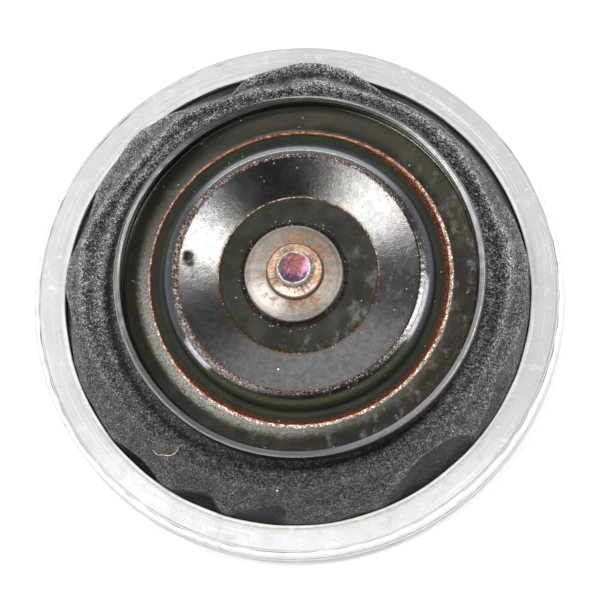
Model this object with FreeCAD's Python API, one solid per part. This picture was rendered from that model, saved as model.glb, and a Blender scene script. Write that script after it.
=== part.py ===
import FreeCAD, Part
import math
import os

# Diaphragm unit of a pneumatic governor, lying ring down with its hub raised.
# Millimetres. Origin: middle of the ring on the plane it rests on, +Z up along
# the hub's axis.

V = FreeCAD.Vector

# ---- driving dimensions -------------------------------------------------
# clamping ring
RING_OUT_R = 34.0          # outer wall
RING_IN_R = 30.2           # clear radius inside the ring
RING_H = 3.6               # height of the closed ring
RING_JOINT_R = 33.15       # where the rolled lip meets the clamp ring
RING_WEB = 1.5             # thickness of the channel's flat web
LEATHER_T = 0.7            # membrane thickness

# membrane, as it stands
LEATHER_TOP_Z = 10.5       # upper face where the hub clamps it
LEATHER_WALL_R = 29.7      # outer face of the slack wall
LEATHER_LEVEL_R = 26.0     # where the level part starts to turn down
LEATHER_HOLE_R = 3.1

# front plate (pressed dish), sheet 0.9 thick
PLATE_X = 1.08             # the hub lies a little off the ring's axis
SHEET = 0.9
RIM_R = 23.5
RIM_Z = 14.0
RIM_T = 0.88               # the lip's crown falls inwards by RIM_FALL
RIM_FALL = 0.17
FLOOR_Z = 12.2
SEAT_EDGE_R = 19.05        # sharp edge of the floor at the groove
GROOVE_OUT_R = 17.85
GROOVE_IN_R = 17.2
GROOVE_Z = LEATHER_TOP_Z + SHEET
SHOULDER_R = 16.85
SHOULDER_Z = 14.45
BOSS_Z = 14.72
BOSS_CREST_R = 15.35
FLAT_R = 10.1
FLAT_Z = 13.6
PLATE_HOLE_R = 3.6

# rear plate
REAR_R = 20.0
REAR_T = 1.2
REAR_TOP_Z = LEATHER_TOP_Z - LEATHER_T

# washer under the rivet head
WASHER_X = 0.54
WASHER_R = 6.25
WASHER_HOLE_R = 3.3
WASHER_T = 1.45

# centre stud
STUD_X = 0.78
SHANK_R = 3.0
HEAD_R = 3.52
HEAD_TOP_Z = 15.9
PIN_R = 2.2
PIN_TOP_Z = 17.2
FLANGE_R = 6.0
FLANGE_T = 1.5
STEM_R = 3.25
EYE_R = 1.5
EYE_Z = STEM_R
EYE_W = 4.5                # across the eye's two flats
EYE_TOP_Z = 6.0


def corner(p0, p1, p2, rad):
    """Tangent points and middle of the arc that rounds the corner p1."""
    ax, az = p0[0] - p1[0], p0[1] - p1[1]
    bx, bz = p2[0] - p1[0], p2[1] - p1[1]
    la, lb = math.hypot(ax, az), math.hypot(bx, bz)
    ax, az, bx, bz = ax / la, az / la, bx / lb, bz / lb
    half = math.acos(max(-1.0, min(1.0, ax * bx + az * bz))) / 2.0
    cut = rad / math.tan(half)
    if cut > 0.499 * min(la, lb) + 1e-9:
        cut = 0.499 * min(la, lb)
        rad = cut * math.tan(half)
    mx, mz = ax + bx, az + bz
    lm = math.hypot(mx, mz)
    d = rad / math.sin(half)
    cx, cz = p1[0] + mx / lm * d, p1[1] + mz / lm * d
    mid = (cx - mx / lm * rad, cz - mz / lm * rad)
    return ((p1[0] + ax * cut, p1[1] + az * cut), mid,
            (p1[0] + bx * cut, p1[1] + bz * cut))


def lathe(profile, x0=0.0):
    """Solid of revolution about the vertical axis through (x0, 0).
    profile: closed list of (r, z) or (r, z, rounding radius)."""
    n = len(profile)
    edges = []
    entry, leave = [], []
    for i, p in enumerate(profile):
        if len(p) > 2 and p[2] > 0:
            a, m, b = corner(profile[i - 1], p, profile[(i + 1) % n], p[2])
            edges.append(("arc", a, m, b))
        else:
            a = b = (p[0], p[1])
            edges.append(None)
        entry.append(a)
        leave.append(b)
    shapes = []
    for i in range(n):
        if edges[i]:
            _, a, m, b = edges[i]
            shapes.append(Part.Arc(V(a[0], 0, a[1]), V(m[0], 0, m[1]),
                                   V(b[0], 0, b[1])).toShape())
        a, b = leave[i], entry[(i + 1) % n]
        if math.hypot(a[0] - b[0], a[1] - b[1]) > 1e-6:
            shapes.append(Part.LineSegment(V(a[0], 0, a[1]),
                                           V(b[0], 0, b[1])).toShape())
    wire = Part.Wire(Part.__sortEdges__(shapes))
    solid = Part.Face(wire).revolve(V(0, 0, 0), V(0, 0, 1), 360)
    if solid.ShapeType != "Solid":
        solid = Part.makeSolid(solid) if solid.ShapeType == "Shell" else solid.Solids[0]
    if solid.Volume < 0:
        solid.reverse()
    solid.translate(V(x0, 0, 0))
    return solid


# ---- clamping ring -------------------------------------------------------
LIP_IN = RING_JOINT_R - 0.2
LEATHER_RING_TOP = RING_WEB + LEATHER_T

# channel: web under the leather, outer wall, lip rolled in over the clamp ring
ring_channel = lathe([
    (RING_IN_R, 0.0, 0.35),
    (RING_OUT_R, 0.0, 0.5),
    (RING_OUT_R, RING_H, 0.55),
    (LIP_IN, RING_H),
    (RING_JOINT_R, RING_H - 0.6),
    (RING_JOINT_R, RING_WEB),
    (RING_IN_R, RING_WEB, 0.3),
])

# clamp ring: flat top with a small bead along its inner edge
ring_clamp = lathe([
    (RING_IN_R, LEATHER_RING_TOP, 0.3),
    (RING_JOINT_R, LEATHER_RING_TOP),
    (RING_JOINT_R, RING_H - 0.6),
    (LIP_IN, RING_H),
    (RING_IN_R + 0.75, RING_H),
    (RING_IN_R + 0.6, RING_H - 0.12),
    (RING_IN_R + 0.45, RING_H),
    (RING_IN_R, RING_H, 0.25),
])

# ---- membrane ------------------------------------------------------------
LT = LEATHER_T
leather_diaphragm = lathe([
    (RING_JOINT_R, RING_WEB),
    (RING_JOINT_R, LEATHER_RING_TOP),
    (LEATHER_WALL_R + 0.1, LEATHER_RING_TOP, 0.35),
    (LEATHER_WALL_R, 6.2, 2.4),
    (LEATHER_LEVEL_R + 0.9, LEATHER_TOP_Z - 0.45, 2.4),
    (LEATHER_LEVEL_R - 3.5, LEATHER_TOP_Z, 5.0),
    (0.0, LEATHER_TOP_Z),
    (0.0, LEATHER_TOP_Z - LT),
    (LEATHER_LEVEL_R - 3.6, LEATHER_TOP_Z - LT, 5.0),
    (LEATHER_LEVEL_R + 0.5, LEATHER_TOP_Z - LT - 0.45, 2.0),
    (LEATHER_WALL_R - LT, 6.0, 1.9),
    (LEATHER_WALL_R - LT, RING_WEB, 0.9),
])
leather_diaphragm = leather_diaphragm.cut(Part.makeCylinder(
    LEATHER_HOLE_R, 4.0, V(STUD_X, 0, LEATHER_TOP_Z - 2.0))).Solids[0]

# ---- front plate -----------------------------------------------------------
S = SHEET
front_plate = lathe([
    (PLATE_HOLE_R, FLAT_Z),
    (FLAT_R, FLAT_Z),
    (FLAT_R + 0.12, FLAT_Z + 0.07),
    (BOSS_CREST_R, BOSS_Z, 1.0),
    (SHOULDER_R, SHOULDER_Z, 1.0),
    (GROOVE_IN_R, GROOVE_Z, 0.32),
    (GROOVE_OUT_R, GROOVE_Z, 0.32),
    (SEAT_EDGE_R, FLOOR_Z),
    (RIM_R - RIM_T, FLOOR_Z, 0.15),
    (RIM_R - RIM_T, RIM_Z - RIM_FALL, 0.18),
    (RIM_R, RIM_Z, 0.25),
    (RIM_R, FLOOR_Z - S + 0.15, 0.3),
    (RIM_R - 0.75, FLOOR_Z - S, 0.3),
    (SEAT_EDGE_R + 0.27, FLOOR_Z - S, 0.2),
    (GROOVE_OUT_R + 0.27, GROOVE_Z - S, 0.4),
    (GROOVE_IN_R - 0.75, GROOVE_Z - S, 0.4),
    (SHOULDER_R - 0.8, SHOULDER_Z - 0.68, 0.4),
    (BOSS_CREST_R - 0.2, BOSS_Z - S, 0.4),
    (FLAT_R, FLAT_Z - S),
    (PLATE_HOLE_R, FLAT_Z - S),
], PLATE_X)

# ---- rear plate --------------------------------------------------------------
T = REAR_T
rear_plate = lathe([
    (SHANK_R + 0.1, REAR_TOP_Z),
    (REAR_R, REAR_TOP_Z, 1.1),
    (REAR_R, REAR_TOP_Z - T - 0.7, 0.3),
    (REAR_R - T, REAR_TOP_Z - T - 0.7, 0.3),
    (REAR_R - T - 0.15, REAR_TOP_Z - T, 0.4),
    (SHANK_R + 0.1, REAR_TOP_Z - T),
], STUD_X)

# ---- washer --------------------------------------------------------------------
WB = FLAT_Z
washer = lathe([
    (WASHER_HOLE_R, WB),
    (WASHER_R, WB, 0.2),
    (WASHER_R, WB + WASHER_T - 0.45, 0.3),
    (WASHER_R - 1.5, WB + WASHER_T, 0.9),
    (WASHER_HOLE_R, WB + WASHER_T),
], WASHER_X)

# ---- centre stud ---------------------------------------------------------------
HB = FLAT_Z + WASHER_T
FB = REAR_TOP_Z - REAR_T
stud = lathe([
    (0.0, 0.0),
    (STEM_R, 0.0),
    (STEM_R, FB - FLANGE_T, 0.25),
    (FLANGE_R, FB - FLANGE_T, 0.35),
    (FLANGE_R, FB, 0.2),
    (SHANK_R, FB),
    (SHANK_R, HB),
    (HEAD_R + 0.15, HB, 0.1),
    (HEAD_R, HEAD_TOP_Z, 0.3),
    (PIN_R, HEAD_TOP_Z),
    (PIN_R, PIN_TOP_Z, 0.25),
    (0.0, PIN_TOP_Z),
])
# rounded end of the eye, coaxial with its bore
big = 20.0
end_block = Part.makeBox(big, big, EYE_Z, V(-big / 2, -big / 2, 0))
end_round = Part.makeCylinder(STEM_R, big, V(-big / 2, 0, EYE_Z), V(1, 0, 0))
stud = stud.cut(end_block.cut(end_round))
# two flats
for sx in (1, -1):
    x = EYE_W / 2 if sx > 0 else -EYE_W / 2 - big
    stud = stud.cut(Part.makeBox(big, big, EYE_TOP_Z, V(x, -big / 2, 0)))
# the eye's bore
stud = stud.cut(Part.makeCylinder(EYE_R, big, V(-big / 2, 0, EYE_Z), V(1, 0, 0)))
stud = stud.Solids[0]
stud.translate(V(STUD_X, 0, 0))

# ---- write --------------------------------------------------------------------
PIECES = {
    "ring_channel": ring_channel,
    "ring_clamp": ring_clamp,
    "leather_diaphragm": leather_diaphragm,
    "front_plate": front_plate,
    "rear_plate": rear_plate,
    "washer": washer,
    "stud": stud,
}

os.makedirs("parts", exist_ok=True)
for name, shape in PIECES.items():
    b = shape.BoundBox
    print("%-18s %s valid=%s solids=%d vol=%.1f z %.2f..%.2f x %.2f..%.2f"
          % (name, shape.ShapeType, shape.isValid(), len(shape.Solids),
             shape.Volume, b.ZMin, b.ZMax, b.XMin, b.XMax))
    shape.exportStep("parts/%s.step" % name)
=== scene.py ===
import math

import bpy
import numpy as np
from mathutils import Matrix, Vector, noise
from mathutils.bvhtree import BVHTree


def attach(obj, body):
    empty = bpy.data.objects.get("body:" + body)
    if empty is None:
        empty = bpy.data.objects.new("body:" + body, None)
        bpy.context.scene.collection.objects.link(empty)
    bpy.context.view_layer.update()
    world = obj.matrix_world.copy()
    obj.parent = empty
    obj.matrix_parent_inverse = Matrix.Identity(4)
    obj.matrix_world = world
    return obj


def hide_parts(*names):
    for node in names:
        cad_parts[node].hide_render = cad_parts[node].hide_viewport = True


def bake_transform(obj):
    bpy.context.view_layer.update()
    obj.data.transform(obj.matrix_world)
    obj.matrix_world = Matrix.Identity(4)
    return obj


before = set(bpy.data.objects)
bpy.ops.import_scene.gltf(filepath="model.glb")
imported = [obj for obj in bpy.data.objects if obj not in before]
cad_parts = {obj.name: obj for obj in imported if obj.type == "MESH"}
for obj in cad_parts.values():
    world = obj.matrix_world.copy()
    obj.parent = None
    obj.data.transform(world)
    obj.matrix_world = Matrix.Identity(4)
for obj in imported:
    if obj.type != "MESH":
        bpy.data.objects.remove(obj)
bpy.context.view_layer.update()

MM = 0.001

# ------------------------------------------------------------------ sizes (mm)
RING_OUT_R, RING_IN_R, RING_H = 34.0, 30.2, 3.6
RING_JOINT_R, RING_WEB, LEATHER_T = 33.15, 1.5, 0.7
LEATHER_TOP_Z = 10.5
PLATE_X, SHEET = 1.08, 0.9
RIM_R, RIM_Z, FLOOR_Z = 23.5, 14.0, 12.2
RIM_T, RIM_FALL = 0.88, 0.17
SEAT_EDGE_R, GROOVE_OUT_R, GROOVE_IN_R, GROOVE_Z = 19.05, 17.85, 17.2, 11.4
SHOULDER_R, SHOULDER_Z = 16.85, 14.45
BOSS_Z, BOSS_CREST_R = 14.72, 15.35
FLAT_R, FLAT_Z = 10.1, 13.6
PLATE_HOLE_R = 3.6
REAR_R, REAR_T, REAR_TOP_Z = 20.0, 1.2, 9.8
WASHER_X, WASHER_R, WASHER_HOLE_R, WASHER_T = 0.54, 6.25, 3.3, 1.45
STUD_X, SHANK_R, HEAD_R, HEAD_TOP_Z = 0.78, 3.0, 3.52, 15.9
PIN_R, PIN_TOP_Z = 2.2, 17.2
FLANGE_R, FLANGE_T, STEM_R = 6.0, 1.5, 3.25


# ------------------------------------------------------------------ camera
def make_camera():
    az, el, dist = math.radians(18.38), math.radians(74.76), 420.0
    back = Vector((math.sin(az) * math.cos(el), -math.cos(az) * math.cos(el), math.sin(el)))
    up = Vector((0, 1, 0))
    up = (up - up.dot(back) * back).normalized()
    right = up.cross(back)
    data = bpy.data.cameras.new("camera")
    data.sensor_width = 36.0
    data.lens = 3238.0 / 600.0 * 36.0
    data.clip_start, data.clip_end = 0.01, 20.0
    data.shift_x, data.shift_y = 0.0014, 0.0032
    cam = bpy.data.objects.new("camera", data)
    bpy.context.scene.collection.objects.link(cam)
    m = Matrix.Identity(4)
    for i in range(3):
        m[i][0], m[i][1], m[i][2] = right[i], up[i], back[i]
        m[i][3] = back[i] * dist * MM
    cam.matrix_world = m
    bpy.context.scene.camera = cam


make_camera()


# ------------------------------------------------------------------ node helper
class Graph:
    """Short names for building a node material."""

    def __init__(self, name):
        self.mat = bpy.data.materials.new(name)
        self.mat.use_nodes = True
        self.t = self.mat.node_tree
        self.t.nodes.clear()
        self.out = self.t.nodes.new("ShaderNodeOutputMaterial")
        self.bsdf = self.t.nodes.new("ShaderNodeBsdfPrincipled")
        self.t.links.new(self.bsdf.outputs[0], self.out.inputs[0])
        tc = self.t.nodes.new("ShaderNodeTexCoord")
        s = self.t.nodes.new("ShaderNodeVectorMath")
        s.operation = "SCALE"
        s.inputs["Scale"].default_value = 1000.0
        self.t.links.new(tc.outputs["Object"], s.inputs[0])
        self.p = s.outputs[0]          # position in mm
        sep = self.t.nodes.new("ShaderNodeSeparateXYZ")
        self.t.links.new(self.p, sep.inputs[0])
        self.x, self.y, self.z = sep.outputs

    def put(self, sock, v):
        if isinstance(v, bpy.types.NodeSocket):
            self.t.links.new(v, sock)
        elif v is not None:
            if hasattr(sock.default_value, "__len__") and not hasattr(v, "__len__"):
                v = [v] * len(sock.default_value)
            if hasattr(v, "__len__") and len(v) == 3 and len(sock.default_value) == 4:
                v = (*v, 1.0)
            sock.default_value = v

    def m(self, op, a, b=None, c=None, clamp=False):
        n = self.t.nodes.new("ShaderNodeMath")
        n.operation, n.use_clamp = op, clamp
        for i, v in enumerate((a, b, c)):
            if v is not None:
                self.put(n.inputs[i], v)
        return n.outputs[0]

    def vec(self, x, y, z):
        n = self.t.nodes.new("ShaderNodeCombineXYZ")
        for i, v in enumerate((x, y, z)):
            self.put(n.inputs[i], v)
        return n.outputs[0]

    def polar(self, x0=0.0):
        dx = self.m("SUBTRACT", self.x, x0)
        r = self.m("SQRT", self.m("ADD", self.m("MULTIPLY", dx, dx), self.m("MULTIPLY", self.y, self.y)))
        c, s = self.m("DIVIDE", dx, r), self.m("DIVIDE", self.y, r)
        return r, c, s

    def noise(self, vec, scale, detail=2.0, rough=0.5, dist=0.0):
        n = self.t.nodes.new("ShaderNodeTexNoise")
        self.put(n.inputs["Vector"], vec)
        self.put(n.inputs["Scale"], scale)
        n.inputs["Detail"].default_value = detail
        n.inputs["Roughness"].default_value = rough
        n.inputs["Distortion"].default_value = dist
        return n.outputs[0]

    def voronoi(self, vec, scale, feature="F1", rand=1.0):
        n = self.t.nodes.new("ShaderNodeTexVoronoi")
        n.feature = feature
        self.put(n.inputs["Vector"], vec)
        self.put(n.inputs["Scale"], scale)
        n.inputs["Randomness"].default_value = rand
        return n.outputs["Distance"], n.outputs["Color"] if "Color" in n.outputs else None

    def sep(self, c):
        n = self.t.nodes.new("ShaderNodeSeparateColor")
        self.put(n.inputs[0], c)
        return n.outputs

    def step(self, v, a, b, lo=0.0, hi=1.0):
        """Smooth step of v from a to b, as lo to hi."""
        n = self.t.nodes.new("ShaderNodeMapRange")
        n.interpolation_type = "SMOOTHSTEP"
        n.clamp = True
        self.put(n.inputs["Value"], v)
        for k, x in (("From Min", a), ("From Max", b), ("To Min", lo), ("To Max", hi)):
            self.put(n.inputs[k], x)
        return n.outputs[0]

    def band(self, v, a, b, soft):
        """1 between a and b, falling to 0 over soft on each side."""
        return self.m("MULTIPLY", self.step(v, a - soft, a), self.step(v, b, b + soft, 1.0, 0.0))

    def mix(self, f, a, b, mode="MIX"):
        n = self.t.nodes.new("ShaderNodeMix")
        n.data_type, n.blend_type = "RGBA", mode
        self.put(n.inputs[0], f)
        self.put(n.inputs[6], a)
        self.put(n.inputs[7], b)
        return n.outputs[2]

    def mixf(self, f, a, b):
        n = self.t.nodes.new("ShaderNodeMix")
        n.data_type = "FLOAT"
        self.put(n.inputs[0], f)
        self.put(n.inputs[2], a)
        self.put(n.inputs[3], b)
        return n.outputs[0]

    def ramp(self, f, stops, interp="LINEAR"):
        n = self.t.nodes.new("ShaderNodeValToRGB")
        n.color_ramp.interpolation = interp
        el = n.color_ramp.elements
        while len(el) < len(stops):
            el.new(0.5)
        for e, (p, c) in zip(el, stops):
            e.position = p
            e.color = (c, c, c, 1) if not hasattr(c, "__len__") else (*c[:3], 1)
        self.put(n.inputs[0], f)
        return n.outputs[0]

    def attr(self, name):
        n = self.t.nodes.new("ShaderNodeAttribute")
        n.attribute_name = name
        return n.outputs["Fac"]

    def bump(self, height, dist_mm, strength=1.0, normal=None):
        n = self.t.nodes.new("ShaderNodeBump")
        n.inputs["Strength"].default_value = strength
        n.inputs["Distance"].default_value = dist_mm * MM
        self.put(n.inputs["Height"], height)
        if normal is not None:
            self.put(n.inputs["Normal"], normal)
        return n.outputs[0]

    def set(self, **kw):
        for k, v in kw.items():
            self.put(self.bsdf.inputs[k.replace("_", " ")], v)
        return self.mat


# ------------------------------------------------------------------ materials
def mat_leather():
    g = Graph("leather_napped")
    warp = g.t.nodes.new("ShaderNodeVectorMath")
    warp.operation = "MULTIPLY_ADD"
    nz = g.t.nodes.new("ShaderNodeTexNoise")
    g.put(nz.inputs["Vector"], g.p)
    nz.inputs["Scale"].default_value = 2.6
    g.put(warp.inputs[0], nz.outputs["Color"])
    warp.inputs[1].default_value = (0.45, 0.45, 0.45)
    g.put(warp.inputs[2], g.p)
    q = warp.outputs[0]
    d1, c1 = g.voronoi(q, 3.6)
    fine = g.noise(g.p, 3.9, 3.0, 0.7, 0.4)
    finer = g.noise(g.p, 6.4, 2.0, 0.6)
    wob = g.noise(g.p, 0.7, 3, 0.6)
    v = g.m("ADD", g.m("MULTIPLY", g.m("SUBTRACT", fine, 0.5), 1.25), g.m("MULTIPLY", g.m("SUBTRACT", finer, 0.5), 1.25))
    v = g.m("ADD", v, g.m("MULTIPLY", g.m("SUBTRACT", g.sep(c1)[0], 0.5), 0.20))
    # the grain is stronger on the far side and weaker on the near side
    v = g.m("MULTIPLY", v, g.step(g.y, -26.0, 6.0, 0.66, 1.12))
    v = g.m("ADD", v, g.m("MULTIPLY", g.m("SUBTRACT", wob, 0.5), 0.14))
    # painted light and shade on the folds: crests are lightened and creases darkened from their convexity, more
    # strongly on the far side
    ridge = g.attr("ridge")
    v = g.m("ADD", v, g.m("MULTIPLY", g.m("SUBTRACT", ridge, 0.5), g.step(g.y, -18.0, 4.0, 0.14, 0.32)))
    # lighter on the far side and a little lighter at the near right
    v = g.m("ADD", v, g.m("ADD", g.step(g.y, -26.0, 6.0, 0.402, 0.452), g.m("MULTIPLY", g.step(g.x, 4.0, 20.0, 0.0, 0.055), g.step(g.y, -2.0, -14.0))))
    # painted shade: the skirt below the crest keeps its nap but is darkened, and the slot next to the ring is painted
    # black as shadow
    painted_under_shade = g.attr("painted_under_shade")
    v = g.m("SUBTRACT", v, g.step(painted_under_shade, 0.0, 0.6, 0.0, 0.15))
    col = g.ramp(v, [(0.18, (0.004, 0.004, 0.004)), (0.34, (0.016, 0.0158, 0.0155)), (0.45, (0.052, 0.051, 0.050)),
                     (0.56, (0.110, 0.108, 0.106)), (0.70, (0.24, 0.236, 0.233)), (0.88, (0.50, 0.49, 0.485))])
    # painted shade: near black in the creases and in the slot next to the ring
    painted_crease_and_slot_shade = g.m("MAXIMUM", g.m("MULTIPLY", g.step(ridge, 0.12, 0.0), 0.5), g.step(painted_under_shade, 0.45, 0.95))
    col = g.mix(painted_crease_and_slot_shade, col, (0.003, 0.003, 0.0035))
    dust = g.step(g.noise(g.p, 0.22, 3, 0.6), 0.56, 0.74)
    col = g.mix(g.m("MULTIPLY", dust, 0.12), col, (0.20, 0.18, 0.14))
    d, _ = g.voronoi(g.p, 0.25)
    grain = g.step(d, 0.055, 0.025)
    col = g.mix(g.m("MULTIPLY", grain, g.step(g.noise(g.p, 0.9, 1), 0.62, 0.66)), col, (0.85, 0.85, 0.86))
    h = g.m("ADD", g.m("MULTIPLY", fine, 0.8), g.m("MULTIPLY", finer, 0.4))
    g.set(Base_Color=col, Roughness=0.95, Normal=g.bump(h, 0.20, 0.8))
    g.set(Sheen_Weight=0.15, Sheen_Roughness=0.6, Specular_IOR_Level=0.15)
    return g.mat


def mat_aluminium():
    g = Graph("aluminium_worn")
    r, c, s = g.polar()
    around = g.vec(g.m("MULTIPLY", c, 2.0), g.m("MULTIPLY", s, 2.0), g.m("MULTIPLY", r, 7.0))
    turn = g.noise(around, 1.0, 4, 0.65)
    broad = g.noise(g.vec(g.m("MULTIPLY", c, 2.2), g.m("MULTIPLY", s, 2.2), g.m("MULTIPLY", r, 0.7)), 1.0, 2, 0.5)
    cloud = g.noise(g.p, 0.12, 3, 0.6)
    fleck = g.noise(g.p, 1.6, 4, 0.7)
    col = g.ramp(cloud, [(0.3, (0.43, 0.43, 0.415)), (0.5, (0.50, 0.50, 0.49)), (0.7, (0.57, 0.57, 0.56))])
    # painted light and shade: paler on the left and the near side, greyer to the right and the far side
    side = g.m("ADD", g.m("MULTIPLY", c, -0.5), g.m("MULTIPLY", s, -0.15))
    near = g.step(s, -0.35, -0.85)
    col = g.mix(g.m("MULTIPLY", g.step(side, 0.3, -0.5), 0.6), col, (0.37, 0.37, 0.362))
    col = g.mix(near, g.mix(0.35, col, (0.34, 0.34, 0.335)), g.mix(0.4, col, (0.62, 0.62, 0.61)))
    lines = g.step(turn, 0.57, 0.68)
    col = g.mix(g.m("MULTIPLY", g.m("MULTIPLY", lines, g.step(broad, 0.40, 0.6)), 0.55), col, (0.30, 0.30, 0.285))
    light = g.step(turn, 0.42, 0.34)
    col = g.mix(g.m("MULTIPLY", light, 0.5), col, (0.78, 0.78, 0.775))
    col = g.mix(g.m("MULTIPLY", g.step(fleck, 0.62, 0.72), 0.5), col, (0.28, 0.275, 0.25))
    col = g.mix(g.m("MULTIPLY", g.step(fleck, 0.38, 0.30), 0.4), col, (0.8, 0.8, 0.8))
    # lighter along the inner edge, less on the far side, with a thin darker line on the near side
    lip = g.m("MULTIPLY", g.step(g.m("ADD", r, g.m("MULTIPLY", g.m("SUBTRACT", fleck, 0.5), 0.5)), RING_IN_R + 0.50, RING_IN_R + 0.15), g.step(g.z, 2.4, 2.9))
    col = g.mix(g.m("MULTIPLY", lip, g.step(s, 0.3, 0.8, 0.50, 0.25)), col, (0.70, 0.70, 0.69))
    line = g.m("MULTIPLY", g.band(g.m("ADD", r, g.m("MULTIPLY", g.m("SUBTRACT", broad, 0.5), 0.25)), RING_IN_R + 0.28, RING_IN_R + 0.46, 0.10), g.step(s, -0.25, -0.6))
    col = g.mix(g.m("MULTIPLY", line, g.step(fleck, 0.30, 0.55, 0.35, 0.9)), col, (0.36, 0.37, 0.31))
    # the rolled edge is brighter than the face, and a dull line runs round its foot on the near side
    rolled = g.step(r, RING_OUT_R - 0.55, RING_OUT_R - 0.35)
    col = g.mix(g.m("MULTIPLY", rolled, g.step(c, -0.6, 0.6, 0.55, 0.9)), col, (0.74, 0.74, 0.73))
    foot = g.m("MULTIPLY", g.m("MULTIPLY", g.band(g.z, 2.3, 2.75, 0.2), g.step(r, RING_OUT_R - 0.4, RING_OUT_R - 0.2)), g.step(s, 0.0, -0.5))
    foot = g.m("MAXIMUM", foot, g.m("MULTIPLY", g.m("MULTIPLY", g.band(g.z, 0.7, 1.0, 0.2), g.step(r, RING_OUT_R - 0.4, RING_OUT_R - 0.2)), 0.6))
    col = g.mix(g.m("MULTIPLY", foot, g.step(fleck, 0.32, 0.55, 0.3, 0.9)), col, (0.26, 0.255, 0.215))
    rollmark = g.m("MULTIPLY", g.band(g.m("ADD", r, g.m("MULTIPLY", g.m("SUBTRACT", fleck, 0.5), 0.12)), LIP_IN + 0.30, LIP_IN + 0.44, 0.06), g.step(g.z, 3.3, 3.45))
    col = g.mix(g.m("MULTIPLY", g.m("MULTIPLY", rollmark, g.step(s, 0.5, -0.3, 0.25, 0.8)), g.step(broad, 0.35, 0.6, 0.35, 1.0)), col, (0.25, 0.245, 0.21))
    patchy = g.noise(g.p, 0.55, 4, 0.72, 0.4)
    col = g.mix(g.m("MULTIPLY", g.step(patchy, 0.52, 0.68), 0.40), col, (0.36, 0.36, 0.35))
    col = g.mix(g.m("MULTIPLY", g.step(patchy, 0.44, 0.32), 0.30), col, (0.70, 0.70, 0.69))
    rough = g.mixf(turn, 0.45, 0.62)
    h = g.m("ADD", g.m("MULTIPLY", turn, 0.7), g.m("MULTIPLY", fleck, 0.3))
    g.set(Base_Color=col, Roughness=rough, Normal=g.bump(h, 0.02, 0.8))
    g.set(Metallic=0.2)
    return g.mat


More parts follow.
